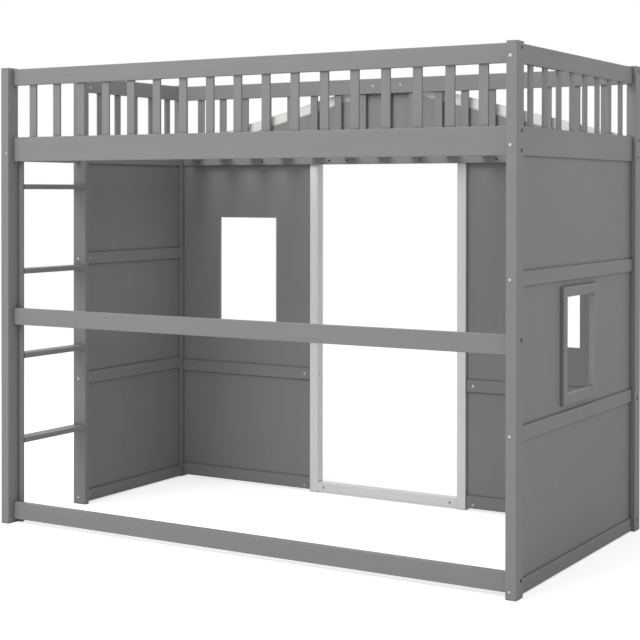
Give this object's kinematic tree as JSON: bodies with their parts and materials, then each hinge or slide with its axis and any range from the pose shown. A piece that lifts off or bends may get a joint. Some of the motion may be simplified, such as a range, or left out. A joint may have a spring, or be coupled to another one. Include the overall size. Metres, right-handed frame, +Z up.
{
  "type": "house loft bed",
  "caption": "Low loft bed in gray painted wood with slatted platform, guard rails, end ladder, panelled ends and a house front with white door frame, windows and gable.",
  "frame": {"origin": "on the floor, in the middle of the footprint of the four corner posts", "axes": "+X along the long side from the ladder end to the panelled end with the window, +Y from the open front to the house front, +Z up"},
  "size_m": [1.985, 1.086, 1.622],
  "materials": {
    "gray_painted_wood": "satin gray paint",
    "white_painted_wood": "satin white paint",
    "natural_pine": "bare planed pine",
    "steel": "zinc plated"
  },
  "bodies": {
    "root": {"post_front_left": "gray_painted_wood", "post_front_right": "gray_painted_wood", "post_back_left": "gray_painted_wood", "post_back_right": "gray_painted_wood", "ladder_post": "gray_painted_wood", "ladder_side_board": "gray_painted_wood", "ladder_tread_1": "gray_painted_wood", "ladder_tread_2": "gray_painted_wood", "ladder_tread_3": "gray_painted_wood", "ladder_tread_4": "gray_painted_wood", "ladder_head_rail": "gray_painted_wood", "front_guard_rail": "gray_painted_wood", "front_side_rail": "gray_painted_wood", "front_mid_rail": "gray_painted_wood", "front_bottom_rail": "gray_painted_wood", "front_balusters": "gray_painted_wood", "right_guard_rail": "gray_painted_wood", "right_side_rail": "gray_painted_wood", "right_upper_cross_rail": "gray_painted_wood", "right_lower_cross_rail": "gray_painted_wood", "right_bottom_rail": "gray_painted_wood", "right_balusters": "gray_painted_wood", "right_panel_top": "gray_painted_wood", "right_panel_window": "gray_painted_wood", "right_panel_bottom": "gray_painted_wood", "right_window_trim": "gray_painted_wood", "left_guard_rail": "gray_painted_wood", "left_side_rail": "gray_painted_wood", "left_balusters": "gray_painted_wood", "left_upper_cross_rail": "gray_painted_wood", "left_lower_cross_rail": "gray_painted_wood", "left_bottom_rail": "gray_painted_wood", "left_panel_top": "gray_painted_wood", "left_panel_middle": "gray_painted_wood", "left_panel_bottom": "gray_painted_wood", "back_guard_rail": "gray_painted_wood", "back_side_rail": "gray_painted_wood", "back_balusters": "gray_painted_wood", "back_left_mid_rail": "gray_painted_wood", "back_right_mid_rail": "gray_painted_wood", "back_left_bottom_rail": "gray_painted_wood", "back_right_bottom_rail": "gray_painted_wood", "back_left_panel_window": "gray_painted_wood", "back_right_panel_window": "gray_painted_wood", "back_left_panel_bottom": "gray_painted_wood", "back_right_panel_bottom": "gray_painted_wood", "back_window_trims": "gray_painted_wood", "gable_panel": "gray_painted_wood", "door_jamb_left": "white_painted_wood", "door_jamb_right": "white_painted_wood", "door_sill": "white_painted_wood", "roof_board_left": "white_painted_wood", "roof_board_right": "white_painted_wood", "slat_ledgers": "gray_painted_wood", "slats": "natural_pine", "dowels": "natural_pine", "frame_bolts": "steel", "barrel_nuts": "steel", "joining_studs": "steel", "wood_screws": "steel"}
  },
  "joints": []
}
